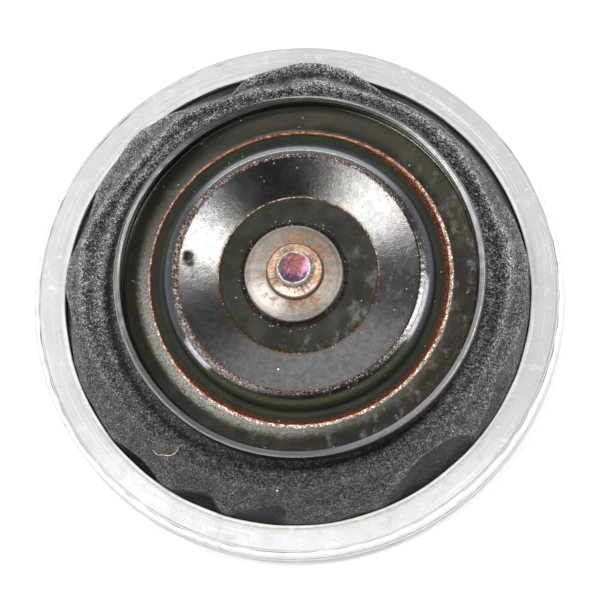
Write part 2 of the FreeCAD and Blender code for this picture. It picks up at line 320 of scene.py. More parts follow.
def mat_dark_steel():
    g = Graph("steel_black_oxide")
    r, c, s = g.polar(PLATE_X)
    cloud = g.noise(g.p, 0.16, 3, 0.55, 0.4)
    cloud2 = g.noise(g.vec(g.x, g.y, 7.0), 0.31, 3, 0.6, 0.3)
    smear = g.noise(g.vec(g.m("MULTIPLY", g.x, 1.0), g.m("MULTIPLY", g.y, 0.6), 2.0), 0.8, 3, 0.6, 0.25)
    grain = g.noise(g.p, 5.0, 3, 0.7)
    grain2 = g.noise(g.p, 2.2, 3, 0.6)
    patch = g.noise(g.vec(g.m("MULTIPLY", c, 3.2), g.m("MULTIPLY", s, 3.2), 0.0), 1.0, 3, 0.6)
    turn = g.noise(g.vec(g.m("MULTIPLY", c, 3.0), g.m("MULTIPLY", s, 3.0), g.m("MULTIPLY", r, 9.0)), 1.0, 4, 0.65)
    up = g.step(g.z, FLOOR_Z - 0.25, FLOOR_Z - 0.05)
    top = g.step(g.z, BOSS_Z - 0.45, BOSS_Z - 0.30)
    cone = g.m("MULTIPLY", g.step(r, FLAT_R + 0.1, FLAT_R + 0.5), g.step(r, SHOULDER_R - 0.1, SHOULDER_R - 0.8))
    col = g.ramp(cloud, [(0.30, (0.040, 0.044, 0.031)), (0.45, (0.046, 0.046, 0.037)),
                         (0.56, (0.060, 0.050, 0.038)), (0.70, (0.050, 0.056, 0.066))])
    col = g.mix(g.m("MULTIPLY", g.step(cloud2, 0.54, 0.70), 0.4), col, (0.085, 0.088, 0.098))
    mott = g.noise(g.p, 1.1, 4, 0.7, 0.5)
    col = g.mix(g.m("MULTIPLY", cone, 0.7), col, g.mix(g.step(mott, 0.35, 0.65), (0.041, 0.041, 0.041), (0.066, 0.066, 0.069)))
    flat = g.m("MULTIPLY", g.step(r, FLAT_R + 0.1, FLAT_R - 0.3), g.step(cloud2, 0.25, 0.7, 0.35, 0.9))
    col = g.mix(flat, col, g.mix(g.step(g.m("ADD", c, g.m("MULTIPLY", s, 0.5)), -0.2, 0.9), (0.082, 0.088, 0.070), (0.104, 0.106, 0.094)))
    outer = g.m("MULTIPLY", g.step(r, 20.0, 21.2), up)
    col = g.mix(g.m("MULTIPLY", outer, g.step(g.m("ADD", c, g.m("MULTIPLY", s, -0.25)), 0.6, -0.8, 0.05, 0.75)), col, (0.015, 0.015, 0.011))
    lightf = g.m("MULTIPLY", g.m("MULTIPLY", g.step(r, 19.5, 21.0), up), g.step(g.m("ADD", s, g.m("MULTIPLY", c, 0.45)), 0.35, 1.0))
    col = g.mix(g.m("MULTIPLY", lightf, 0.75), col, (0.120, 0.112, 0.092))
    right = g.m("ADD", g.m("MULTIPLY", c, 0.8), g.m("MULTIPLY", s, -0.45))
    dusty = g.m("MULTIPLY", g.step(smear, 0.50, 0.74), g.step(right, -0.2, 0.9))
    col = g.mix(g.m("MULTIPLY", dusty, 0.35), col, (0.13, 0.135, 0.14))
    col = g.mix(g.m("MULTIPLY", g.step(grain, 0.62, 0.74), 0.22), col, (0.16, 0.155, 0.145))
    # floor next to the groove: duller and speckled, most of it at the lower left, fading outwards
    pale = g.m("ADD", g.m("MULTIPLY", c, -0.75), g.m("MULTIPLY", s, -0.66))
    blast = g.m("MULTIPLY", g.step(g.m("ADD", r, g.m("MULTIPLY", g.m("SUBTRACT", grain2, 0.5), 1.0)), 21.0, 19.5), up)
    blast = g.m("MULTIPLY", blast, g.step(r, SEAT_EDGE_R - 0.05, SEAT_EDGE_R + 0.05))
    strong = g.step(pale, 0.35, 1.0)
    ground = g.m("MULTIPLY", blast, g.m("ADD", g.m("MULTIPLY", g.step(pale, -0.9, 0.4), 0.45), g.m("MULTIPLY", strong, 0.55)))
    tone = g.mix(g.step(grain, 0.42, 0.62), (0.050, 0.052, 0.045), g.mix(strong, (0.098, 0.098, 0.088), (0.20, 0.19, 0.175)))
    col = g.mix(ground, col, tone)
    # groove and the outer side of the boss: oily green black at the bottom, with painted light and shade by side on the
    # boss wall above it
    deep = g.m("MULTIPLY", g.m("MULTIPLY", g.step(r, SEAT_EDGE_R, SEAT_EDGE_R - 0.3), g.step(r, SHOULDER_R - 0.75, SHOULDER_R - 0.25)), g.step(g.z, 14.62, 14.2))
    boss_wall_painted_light_shade = g.mix(g.step(s, -0.2, -0.8), g.mix(g.step(s, 0.3, 0.8), (0.070, 0.078, 0.098), (0.030, 0.032, 0.028)), (0.060, 0.066, 0.042))
    col = g.mix(deep, col, g.mix(g.step(g.z, 12.2, 14.3), g.mix(g.step(cloud2, 0.35, 0.65), (0.036, 0.037, 0.024), (0.028, 0.030, 0.025)), boss_wall_painted_light_shade))
    # painted reflection on the shoulder: blue grey on the far side, dull green on the near side
    shoulder = g.m("MULTIPLY", g.step(r, 15.9, 16.3), g.step(g.z, 12.4, 14.0))
    near = g.step(s, -0.1, -0.8)
    shoulder_painted_reflection = g.mix(near, (0.090, 0.098, 0.115), (0.052, 0.058, 0.036))
    col = g.mix(g.m("MULTIPLY", shoulder, 0.85), col, shoulder_painted_reflection)
    # rust
    rust = g.ramp(g.noise(g.p, 3.4, 4, 0.7), [(0.30, (0.035, 0.010, 0.005)), (0.45, (0.120, 0.034, 0.014)),
                                              (0.58, (0.230, 0.075, 0.030)), (0.74, (0.42, 0.19, 0.09))])
    cell = g.sep(g.voronoi(g.p, 6.0)[1])[0]
    # painted glint colours, up to near white
    painted_glint_col = g.ramp(cell, [(0.0, (0.22, 0.085, 0.045)), (0.40, (0.45, 0.25, 0.17)),
                            (0.62, (0.75, 0.55, 0.45)), (0.88, (1.0, 0.93, 0.88))])
    jig = g.m("ADD", g.m("MULTIPLY", g.m("SUBTRACT", g.noise(g.p, 4.2, 2), 0.5), 0.24),
              g.m("MULTIPLY", g.m("SUBTRACT", g.noise(g.p, 0.9, 2), 0.5), 0.14))
    rj = g.m("ADD", r, jig)
    side = g.m("MAXIMUM", g.step(s, -0.35, -0.95, 0.0, 0.9), g.step(c, 0.2, 0.9, 0.0, 1.0))
    # wall of the groove below the seat, rusty and fading inwards, more of it on the right and near side
    depth = g.mixf(side, 0.30, 0.85)
    wall = g.m("MULTIPLY", g.step(g.m("SUBTRACT", SEAT_EDGE_R, rj), depth, g.m("MULTIPLY", depth, 0.4)), g.step(rj, SEAT_EDGE_R + 0.06, SEAT_EDGE_R - 0.02))
    wall = g.m("MULTIPLY", wall, g.step(patch, 0.15, 0.45, 0.65, 1.0))
    wall = g.m("MULTIPLY", wall, g.step(g.z, 10.9, 11.3))
    halfw = g.mixf(side, 0.13, 0.34)
    edge0 = g.m("MULTIPLY", g.m("MULTIPLY", g.step(rj, SEAT_EDGE_R - 0.14, SEAT_EDGE_R - 0.04), g.step(g.m("SUBTRACT", rj, halfw), SEAT_EDGE_R + 0.10, SEAT_EDGE_R - 0.02)),
                g.step(g.z, FLOOR_Z - 0.35, FLOOR_Z - 0.15))
    edge0 = g.m("MULTIPLY", edge0, g.step(g.noise(g.p, 2.2, 3, 0.7), 0.32, 0.50))
    col = g.mix(wall, col, rust)
    # painted glints on the rust edge, fewer on the far side
    painted_glint = g.step(g.m("ADD", g.noise(g.p, 1.3, 3, 0.7), g.m("MULTIPLY", side, 0.10)), 0.42, 0.58)
    painted_glint = g.m("MULTIPLY", painted_glint, g.step(s, 0.85, 0.2, 0.25, 1.0))
    tan = g.mix(g.step(grain2, 0.35, 0.6), (0.25, 0.10, 0.05), (0.45, 0.24, 0.15))
    col = g.mix(edge0, col, g.mix(painted_glint, tan, painted_glint_col))
    # crease at the flat's edge: fine dots, painted glints on the far half and rust dots on the near half
    gate = g.m("MULTIPLY", g.step(r, FLAT_R + 1.2, FLAT_R + 0.8), g.step(g.z, FLAT_Z - 0.3, FLAT_Z - 0.2))
    thin = g.m("ADD", r, g.m("MULTIPLY", g.m("SUBTRACT", g.noise(g.p, 4.5, 2), 0.5), 0.22))
    edge = g.m("MULTIPLY", g.band(thin, FLAT_R + 0.02, FLAT_R + 0.07, 0.06), gate)
    low = g.step(s, 0.15, -0.25)
    dots = g.step(g.voronoi(g.p, 3.2)[0], 0.42, 0.26)
    edge = g.m("MULTIPLY", edge, g.mixf(low, g.step(g.noise(g.p, 2.6, 3, 0.7), 0.40, 0.52), dots))
    edgec = g.mix(low, painted_glint_col, g.mix(g.step(cell, 0.5, 0.8), (0.34, 0.12, 0.055), (0.75, 0.5, 0.38)))
    stain = g.m("MULTIPLY", g.m("MULTIPLY", g.band(rj, FLAT_R - 0.2, FLAT_R + 0.3, 0.35), gate), g.step(g.noise(g.p, 0.5, 3, 0.6), 0.46, 0.66))
    col = g.mix(g.m("MULTIPLY", stain, g.mixf(low, 0.25, 0.6)), col, (0.080, 0.032, 0.020))
    col = g.mix(edge, col, edgec)
    # crest of the boss: a fuzzy rubbed band on the left, specks on the right, thin lines far and near
    where = g.m("ADD", g.m("MULTIPLY", c, -0.95), g.m("MULTIPLY", s, -0.1))
    fuzz = g.noise(g.p, 3.4, 4, 0.8)
    cc = g.m("ADD", rj, g.m("MULTIPLY", g.m("SUBTRACT", fuzz, 0.5), 0.8))
    onleft, onright = g.step(where, 0.35, 0.8), g.step(where, 0.0, -0.6)
    far0, near0 = g.step(s, 0.45, 0.8), g.step(s, -0.45, -0.8)
    pinkish = g.ramp(cell, [(0.0, (0.20, 0.095, 0.085)), (0.45, (0.42, 0.30, 0.28)), (0.7, (0.72, 0.62, 0.60)), (0.9, (0.98, 0.94, 0.93))])
    stain2 = g.m("MULTIPLY", g.band(cc, BOSS_CREST_R - 0.2, BOSS_CREST_R + 0.5, 0.3), top)
    col = g.mix(g.m("MULTIPLY", g.m("MULTIPLY", stain2, g.step(patch, 0.30, 0.6, 0.3, 0.8)), g.mixf(near0, g.mixf(onright, 1.0, 0.25), 0.45)), col,
                g.mix(near0, (0.050, 0.033, 0.028), (0.062, 0.034, 0.030)))
    bl = g.m("MULTIPLY", g.m("MULTIPLY", g.band(cc, BOSS_CREST_R - 0.05, BOSS_CREST_R + 0.55, 0.2), onleft), g.step(fuzz, 0.44, 0.56))
    bf = g.m("MULTIPLY", g.m("MULTIPLY", g.band(cc, BOSS_CREST_R - 0.05, BOSS_CREST_R + 0.30, 0.15), far0), g.step(fuzz, 0.47, 0.60, 0.0, 0.75))
    bn = g.m("MULTIPLY", g.m("MULTIPLY", g.band(cc, BOSS_CREST_R + 0.05, BOSS_CREST_R + 0.40, 0.15), near0), g.step(fuzz, 0.50, 0.64, 0.0, 0.35))
    br = g.m("MULTIPLY", g.m("MULTIPLY", g.band(cc, BOSS_CREST_R - 0.6, BOSS_CREST_R + 1.0, 0.3), onright), g.step(g.voronoi(g.p, 1.9)[0], 0.16, 0.09))
    crumbs = g.m("MULTIPLY", g.m("MAXIMUM", g.m("MAXIMUM", bl, bf), g.m("MAXIMUM", bn, br)), top)
    col = g.mix(crumbs, col, g.mix(onleft, pinkish, g.mix(g.step(grain2, 0.40, 0.60), (0.165, 0.130, 0.108), (0.52, 0.44, 0.39))))
    # painted reflection as a cool line just outside it on the far side, and painted highlights as bright streaks at the
    # lower left and lower right
    jr = g.m("ADD", r, g.m("MULTIPLY", g.m("SUBTRACT", fuzz, 0.5), 0.12))
    far_painted_reflection = g.m("MULTIPLY", g.band(jr, 16.15, 16.55, 0.2), g.m("MULTIPLY", g.step(s, 0.5, 0.85), top))
    col = g.mix(g.m("MULTIPLY", far_painted_reflection, 0.8), col, (0.36, 0.40, 0.40))
    ang1 = g.step(g.m("ADD", g.m("MULTIPLY", c, -0.777), g.m("MULTIPLY", s, -0.629)), 0.985, 0.996)
    ang2 = g.step(g.m("ADD", g.m("MULTIPLY", c, 0.951), g.m("MULTIPLY", s, -0.309)), 0.955, 0.985)
    painted_streak_highlight = g.m("MAXIMUM", g.m("MULTIPLY", ang1, g.band(jr, 16.25, 16.6, 0.15)), g.m("MULTIPLY", ang2, g.band(jr, 16.15, 16.45, 0.2)))
    painted_streak_highlight = g.m("MULTIPLY", g.m("MULTIPLY", painted_streak_highlight, g.step(fuzz, 0.32, 0.5, 0.5, 1.0)), g.step(g.z, 13.9, 14.2))
    col = g.mix(g.m("MULTIPLY", painted_streak_highlight, 0.8), col, (0.66, 0.64, 0.70))
    # dull black pit at the upper left of the boss
    pd = g.m("SQRT", g.m("ADD", g.m("POWER", g.m("SUBTRACT", g.x, PLATE_X - 13.95), 2.0), g.m("MULTIPLY", g.m("POWER", g.m("SUBTRACT", g.y, 2.5), 2.0), 0.6)))
    pit = g.m("MULTIPLY", g.step(g.m("ADD", pd, g.m("MULTIPLY", g.m("SUBTRACT", grain2, 0.5), 0.7)), 0.72, 0.30), top)
    col = g.mix(pit, col, (0.010, 0.011, 0.009))
    # lip: dark steel with brush marks on its crown, its tone painted by side as light and shade, lighter on the right
    # and darkest on the far side; bare metal at its outer edge, painted lighter on the left where it catches light
    crown = g.m("MULTIPLY", g.step(r, RIM_R - RIM_T - 0.08, RIM_R - RIM_T + 0.03), g.step(g.z, RIM_Z - 0.45, RIM_Z - 0.28))
    left = g.step(g.m("ADD", g.m("MULTIPLY", c, -1.0), g.m("MULTIPLY", s, 0.5)), 0.35, 0.95)
    rightward = g.step(g.m("ADD", c, g.m("MULTIPLY", s, -0.25)), 0.2, 0.9)
    dark = g.mix(rightward, (0.050, 0.051, 0.052), (0.125, 0.118, 0.120))
    light = g.mix(rightward, (0.085, 0.085, 0.088), (0.165, 0.156, 0.160))
    crown_brush_and_painted_light = g.mix(g.step(turn, 0.36, 0.60), g.mix(left, dark, (0.045, 0.045, 0.045)), g.mix(left, light, (0.125, 0.125, 0.122)))
    far = g.step(s, 0.66, 0.95)
    crown_brush_and_painted_light = g.mix(g.m("MULTIPLY", far, g.step(grain, 0.40, 0.62, 0.98, 0.75)), crown_brush_and_painted_light, (0.017, 0.019, 0.014))
    col = g.mix(crown, col, crown_brush_and_painted_light)
    bare = g.m("MULTIPLY", g.step(g.m("ADD", r, g.m("MULTIPLY", g.m("SUBTRACT", grain2, 0.5), 0.12)), RIM_R - 0.26, RIM_R - 0.16), g.step(g.z, RIM_Z - 0.32, RIM_Z - 0.16))
    col = g.mix(g.m("MULTIPLY", bare, g.m("MULTIPLY", g.step(c, 0.5, -0.2, 0.25, 1.0), g.mixf(far, 1.0, 0.8))), col, g.mix(far, (0.33, 0.325, 0.318), (0.45, 0.45, 0.44)))
    # painted shade: the lip's outer wall is near black except on the far side
    skirt = g.m("MULTIPLY", g.step(r, RIM_R - 0.16, RIM_R - 0.06), g.step(g.z, RIM_Z - 0.12, RIM_Z - 0.30))
    col = g.mix(g.m("MULTIPLY", skirt, g.step(s, 0.9, 0.5)), col, (0.006, 0.0055, 0.005))
    # painted shadow at the foot of the lip's inner wall
    foot = g.m("MULTIPLY", g.band(r, RIM_R - RIM_T - 0.16, RIM_R - RIM_T + 0.05, 0.08), g.step(g.z, RIM_Z - 0.4, RIM_Z - 0.8))
    col = g.mix(g.m("MULTIPLY", g.m("MULTIPLY", foot, g.step(g.z, FLOOR_Z - 0.3, FLOOR_Z - 0.1)), 0.7), col, (0.014, 0.015, 0.011))
    d, _ = g.voronoi(g.p, 0.42)
    spot = g.m("MULTIPLY", g.step(d, 0.055, 0.025), g.step(g.noise(g.p, 0.8, 1), 0.54, 0.60))
    col = g.mix(spot, col, (0.60, 0.59, 0.58))
    d3, _ = g.voronoi(g.p, 1.0)
    fleck = g.m("MULTIPLY", g.step(d3, 0.105, 0.05), g.step(g.noise(g.p, 0.5, 2), 0.50, 0.62))
    col = g.mix(g.m("MULTIPLY", fleck, 0.8), col, (0.70, 0.68, 0.67))
    # painted shadow in dark brown round the washer's foot, and crumbs of rust round it
    wx = g.m("SUBTRACT", g.x, WASHER_X)
    wr = g.m("SQRT", g.m("ADD", g.m("MULTIPLY", wx, wx), g.m("MULTIPLY", g.y, g.y)))
    low0 = g.step(g.z, FLAT_Z - 0.2, FLAT_Z - 0.1)
    washer_painted_shadow = g.m("MULTIPLY", g.m("MULTIPLY", g.band(g.m("ADD", wr, jig), 6.0, 6.75, 0.2), low0), g.step(g.z, FLAT_Z + 0.12, FLAT_Z + 0.06))
    col = g.mix(g.m("MULTIPLY", washer_painted_shadow, g.step(grain2, 0.35, 0.6, 0.4, 0.9)), col, (0.032, 0.016, 0.018))
    crumb2 = g.m("MULTIPLY", g.m("MULTIPLY", g.band(wr, 6.3, 7.1, 0.15), low0), g.step(g.voronoi(g.p, 2.6)[0], 0.22, 0.12))
    crumb2 = g.m("MULTIPLY", g.m("MULTIPLY", crumb2, g.step(g.noise(g.p, 0.6, 2), 0.46, 0.56)), g.step(g.z, FLAT_Z + 0.12, FLAT_Z + 0.06))
    col = g.mix(crumb2, col, pinkish)
    rust_wear_and_glints = g.m("MAXIMUM", g.m("MAXIMUM", g.m("MAXIMUM", wall, edge0), g.m("MAXIMUM", edge, crumbs)), g.m("MAXIMUM", fleck, g.m("MAXIMUM", crumb2, painted_streak_highlight)))
    gloss = g.mixf(cone, g.mixf(cloud2, 0.17, 0.24), g.mixf(cloud2, 0.15, 0.20))
    gloss = g.m("ADD", gloss, g.m("MULTIPLY", dusty, 0.10))
    gloss = g.m("ADD", gloss, g.m("MULTIPLY", deep, 0.40))
    rough = g.mixf(g.m("MAXIMUM", rust_wear_and_glints, pit), g.mixf(ground, gloss, 0.37), 0.5)
    rough = g.mixf(crown, rough, 0.30)
    h = g.m("ADD", g.m("MULTIPLY", grain, 0.7), g.m("MULTIPLY", grain2, 0.5))
    n = g.bump(h, 0.011, 1.0)
    n = g.bump(g.m("MULTIPLY", turn, crown), 0.02, 1.0, n)
    n = g.bump(g.m("MULTIPLY", g.noise(g.p, 3.0, 4, 0.75), g.m("MAXIMUM", rust_wear_and_glints, g.m("MULTIPLY", ground, 0.4))), 0.12, 0.9, n)
    g.set(Base_Color=col, Roughness=rough, Normal=n,
          Metallic=g.mixf(rust_wear_and_glints, g.mixf(deep, 0.95, 0.0), 0.55))
    g.set(Specular_IOR_Level=0.12)
    return g.mat


def mat_washer():
    g = Graph("steel_worn_washer")
    r, c, s = g.polar(WASHER_X)
    grain = g.noise(g.p, 5.0, 3, 0.7)
    cloud = g.noise(g.p, 0.6, 4, 0.6, 0.3)
    col = g.ramp(cloud, [(0.3, (0.150, 0.124, 0.100)), (0.5, (0.195, 0.172, 0.148)), (0.7, (0.235, 0.215, 0.195))])
    speck = g.noise(g.p, 7.0, 2, 0.6)
    col = g.mix(g.m("MULTIPLY", g.step(g.m("ADD", g.m("MULTIPLY", grain, 0.6), g.m("MULTIPLY", speck, 0.4)), 0.52, 0.66), 0.7), col, (0.36, 0.335, 0.305))
    col = g.mix(g.m("MULTIPLY", g.step(g.m("ADD", g.m("MULTIPLY", grain, 0.6), g.m("MULTIPLY", speck, 0.4)), 0.46, 0.34), 0.6), col, (0.080, 0.055, 0.040))
    # painted highlight at the lower left, painted shade in brown to the right and the far side
    toward = g.m("ADD", g.m("MULTIPLY", c, -0.72), g.m("MULTIPLY", s, -0.69))
    painted_glare = g.m("MULTIPLY", g.step(toward, 0.72, 1.0), g.band(r, 3.9, 5.6, 0.7))
    col = g.mix(g.m("MULTIPLY", painted_glare, 0.45), col, (0.46, 0.45, 0.43))
    col = g.mix(g.m("MULTIPLY", g.step(toward, 0.0, -0.9), 0.50), col, (0.085, 0.062, 0.046))
    patches = g.m("MAXIMUM", g.step(g.m("ADD", g.m("MULTIPLY", c, 0.45), g.m("MULTIPLY", s, 0.89)), 0.5, 0.95),
                  g.step(g.m("ADD", g.m("MULTIPLY", c, 0.30), g.m("MULTIPLY", s, -0.95)), 0.80, 0.98))
    rust = g.m("MULTIPLY", g.step(g.m("ADD", g.noise(g.p, 0.95, 5, 0.75), g.m("MULTIPLY", patches, 0.10)), 0.50, 0.66), g.step(r, 5.9, 4.2))
    rcol = g.ramp(g.noise(g.p, 2.6, 3, 0.6), [(0.3, (0.13, 0.050, 0.022)), (0.55, (0.30, 0.135, 0.060)), (0.75, (0.42, 0.26, 0.16))])
    col = g.mix(g.m("MULTIPLY", rust, 0.75), col, rcol)
    bevel = g.band(r, WASHER_R - 0.24, WASHER_R - 0.02, 0.10)
    col = g.mix(g.m("MULTIPLY", bevel, g.step(grain, 0.35, 0.6, 0.1, 0.6)), col, (0.42, 0.39, 0.37))
    # painted shade in dark brown along the washer's foot, where it meets the plate
    painted_under_shade = g.step(g.z, FLAT_Z + 0.35, FLAT_Z + 0.1)
    col = g.mix(painted_under_shade, col, (0.045, 0.024, 0.020))
    h = g.m("ADD", g.m("MULTIPLY", grain, 0.8), g.m("MULTIPLY", speck, 0.5))
    g.set(Base_Color=col, Roughness=g.mixf(rust, g.mixf(cloud, 0.36, 0.46), 0.6), Metallic=g.mixf(rust, 0.8, 0.45),
          Normal=g.bump(h, 0.03, 0.8))
    return g.mat


def mat_stud():
    g = Graph("steel_rusty_stud")
    r, c, s = g.polar(STUD_X)
    grain = g.noise(g.p, 4.5, 3, 0.7)
    blot = g.noise(g.p, 1.5, 4, 0.65, 0.4)
    fineb = g.noise(g.p, 3.2, 4, 0.75, 0.3)
    head = g.ramp(g.m("ADD", g.m("MULTIPLY", blot, 0.5), g.m("MULTIPLY", fineb, 0.5)),
                  [(0.34, (0.13, 0.045, 0.018)), (0.43, (0.34, 0.15, 0.065)), (0.50, (0.42, 0.27, 0.17)),
                   (0.57, (0.52, 0.41, 0.31)), (0.68, (0.85, 0.79, 0.72))])
    # painted highlight: the collar is made paler on the near side
    low = g.step(s, -0.3, -0.95)       # the peened collar is paler on the near side
    head = g.mix(g.m("MULTIPLY", low, g.step(fineb, 0.40, 0.55, 0.0, 0.75)), head, (0.80, 0.74, 0.66))
    head = g.mix(g.m("MULTIPLY", g.step(s, 0.1, 0.8), 0.35), head, (0.22, 0.13, 0.08))
    shade = g.m("MAXIMUM", g.step(g.m("ADD", r, g.m("MULTIPLY", g.m("SUBTRACT", fineb, 0.5), 0.5)), HEAD_R - 0.22, HEAD_R - 0.02),
                g.m("MULTIPLY", g.step(r, PIN_R + 0.32, PIN_R + 0.08), g.step(fineb, 0.62, 0.45)))
    head = g.mix(g.m("MULTIPLY", shade, 0.8), head, (0.040, 0.020, 0.012))
    head = g.mix(g.m("MULTIPLY", g.step(grain, 0.6, 0.75), 0.45), head, (0.78, 0.70, 0.60))
    # painted shade at the foot of the collar, where it sits on the washer
    foot = g.step(g.z, FLAT_Z + WASHER_T + 0.35, FLAT_Z + WASHER_T + 0.1)
    head = g.mix(g.m("MULTIPLY", foot, g.step(g.z, 14.9, 15.0)), head, (0.05, 0.03, 0.02))
    # pin: pale worn wall, heat tinted end with streaks
    sx = g.m("ADD", g.m("MULTIPLY", g.m("SUBTRACT", g.x, STUD_X), 0.86), g.m("MULTIPLY", g.y, -0.5))
    sy = g.m("ADD", g.m("MULTIPLY", g.m("SUBTRACT", g.x, STUD_X), 0.5), g.m("MULTIPLY", g.y, 0.86))
    streak = g.noise(g.vec(g.m("MULTIPLY", sx, 3.6), g.m("MULTIPLY", sy, 0.45), 3.0), 1.0, 4, 0.7, 0.5)
    tone = g.m("ADD", g.m("MULTIPLY", g.m("ADD", sx, 2.2), 0.2273), g.m("MULTIPLY", g.m("SUBTRACT", g.noise(g.p, 1.3, 4, 0.7), 0.5), 0.9))
    tint = g.ramp(tone, [(0.08, (0.055, 0.042, 0.040)), (0.30, (0.085, 0.035, 0.038)), (0.46, (0.20, 0.055, 0.050)),
                         (0.58, (0.11, 0.042, 0.052)), (0.70, (0.30, 0.095, 0.13)), (0.84, (0.36, 0.19, 0.30)),
                         (0.97, (0.20, 0.12, 0.19))])
    dark = g.m("MULTIPLY", g.step(g.m("ADD", g.m("MULTIPLY", g.y, -0.28), g.noise(g.p, 1.6, 3, 0.7)), 0.62, 0.86), 0.9)
    tint = g.mix(dark, tint, (0.020, 0.009, 0.030))
    tint = g.mix(g.m("MULTIPLY", g.step(streak, 0.56, 0.70), 0.45), tint, (0.50, 0.37, 0.39))
    end = g.m("MULTIPLY", g.step(g.z, PIN_TOP_Z - 0.10, PIN_TOP_Z - 0.03), g.step(g.m("ADD", r, g.m("MULTIPLY", blot, 0.5)), 2.28, 2.12))
    pin = g.step(g.z, HEAD_TOP_Z + 0.02, HEAD_TOP_Z + 0.12)
    wallc = g.mix(g.step(grain, 0.4, 0.6), (0.42, 0.33, 0.30), (0.66, 0.60, 0.58))
    # painted shade at the foot of the pin's wall, next to the collar
    pin_foot_painted_shade = g.step(g.z, HEAD_TOP_Z + 0.35, HEAD_TOP_Z + 0.12)
    wallc = g.mix(pin_foot_painted_shade, wallc, (0.035, 0.018, 0.012))
    col = g.mix(pin, head, wallc)
    col = g.mix(end, col, tint)
    # below the plates: plain turned steel with light rust
    body = g.step(g.z, 14.6, 14.2)
    turn = g.noise(g.vec(g.m("MULTIPLY", c, 1.2), g.m("MULTIPLY", s, 1.2), g.m("MULTIPLY", g.z, 5.0)), 1.0, 3, 0.6)
    plain = g.mix(g.step(blot, 0.5, 0.68), g.mix(turn, (0.30, 0.29, 0.27), (0.44, 0.43, 0.41)), (0.30, 0.16, 0.08))
    col = g.mix(body, col, plain)
    h = g.m("ADD", g.m("MULTIPLY", grain, 0.5), blot)
    metal = g.mixf(body, g.mixf(pin, 0.35, 0.75), 0.9)
    g.set(Base_Color=col, Roughness=g.mixf(end, g.mixf(grain, 0.38, 0.55), 0.3), Metallic=metal, Normal=g.bump(h, 0.10, 0.8))
    return g.mat


def mat_rear_steel():
    g = Graph("steel_rear_plate")
    r, c, s = g.polar()
    cloud = g.noise(g.p, 0.2, 3, 0.6, 0.3)
    grain = g.noise(g.p, 4.5, 3, 0.7)
    turn = g.noise(g.vec(g.m("MULTIPLY", c, 1.4), g.m("MULTIPLY", s, 1.4), g.m("MULTIPLY", r, 4.0)), 1.0, 3, 0.6)
    col = g.ramp(cloud, [(0.3, (0.06, 0.06, 0.055)), (0.55, (0.11, 0.105, 0.095)), (0.75, (0.15, 0.15, 0.155))])
    rust = g.m("MAXIMUM", g.step(g.noise(g.p, 0.8, 4, 0.7), 0.64, 0.74), g.m("MULTIPLY", g.step(r, 19.2, 19.8), g.step(grain, 0.4, 0.6)))
    col = g.mix(g.m("MULTIPLY", rust, 0.8), col, (0.27, 0.11, 0.045))
    h = g.m("ADD", g.m("MULTIPLY", grain, 0.6), g.m("MULTIPLY", turn, 0.4))
    g.set(Base_Color=col, Roughness=g.mixf(rust, g.mixf(cloud, 0.28, 0.42), 0.7), Metallic=g.mixf(rust, 0.92, 0.3), Normal=g.bump(h, 0.012, 0.8))
    return g.mat


def mat_fibre():
    g = Graph("lint")
    n = g.noise(g.p, 2.0, 2)
    g.set(Base_Color=g.ramp(n, [(0.3, (0.42, 0.36, 0.17)), (0.7, (0.72, 0.66, 0.42))]), Roughness=0.6,
          Normal=g.bump(g.noise(g.p, 12.0, 2), 0.02, 0.5))
    return g.mat


def mat_floor():
    g = Graph("table_white")
    n = g.noise(g.p, 0.02, 3, 0.5)
    g.set(Base_Color=g.ramp(n, [(0.3, (0.93, 0.93, 0.93)), (0.7, (0.95, 0.95, 0.95))]), Roughness=0.9)
    g.set(Specular_IOR_Level=0.2)
    return g.mat


# ------------------------------------------------------------------ mesh helpers
def corner(p0, p1, p2, rad, n):
    a, b, q = np.array(p0[:2], float), np.array(p2[:2], float), np.array(p1[:2], float)
    da, db = a - q, b - q
    la, lb = np.linalg.norm(da), np.linalg.norm(db)
    da, db = da / la, db / lb
    half = math.acos(max(-1.0, min(1.0, float(da @ db)))) / 2
    cut = rad / math.tan(half)
    if cut > 0.499 * min(la, lb):
        cut = 0.499 * min(la, lb)
        rad = cut * math.tan(half)
    m = (da + db) / np.linalg.norm(da + db)
    c = q + m * rad / math.sin(half)
    s, e = q + da * cut - c, q + db * cut - c
    t0, t1 = math.atan2(s[1], s[0]), math.atan2(e[1], e[0])
    d = (t1 - t0 + math.pi) % (2 * math.pi) - math.pi
    return [tuple(c + rad * np.array((math.cos(t0 + d * k / n), math.sin(t0 + d * k / n)))) for k in range(n + 1)]


def outline(profile, step=0.35, arc=5):
    """Closed (r, z) outline with rounded corners, its straights divided to step."""
    n, pts = len(profile), []
    for i, p in enumerate(profile):
        if len(p) > 2 and p[2] > 0:
            pts += corner(profile[i - 1], p, profile[(i + 1) % n], p[2], arc)
        else:
            pts.append((p[0], p[1]))
    out = []
    for i, a in enumerate(pts):
        b = pts[(i + 1) % len(pts)]
        d = math.hypot(b[0] - a[0], b[1] - a[1])
        if d < 1e-5:
            continue
        k = max(1, int(math.ceil(d / step)))
        out += [(a[0] + (b[0] - a[0]) * j / k, a[1] + (b[1] - a[1]) * j / k) for j in range(k)]
    return np.array(out)


def mesh_object(name, verts, faces, mat, smooth=40.0):
    me = bpy.data.meshes.new(name)
    me.from_pydata((np.asarray(verts) * MM).tolist(), [], [list(f) for f in faces])
    me.validate()
    me.update()
    ob = bpy.data.objects.new(name, me)
    bpy.context.scene.collection.objects.link(ob)
    me.materials.append(mat)
    me.shade_smooth()
    if smooth:
        me.set_sharp_from_angle(angle=math.radians(smooth))
    return ob


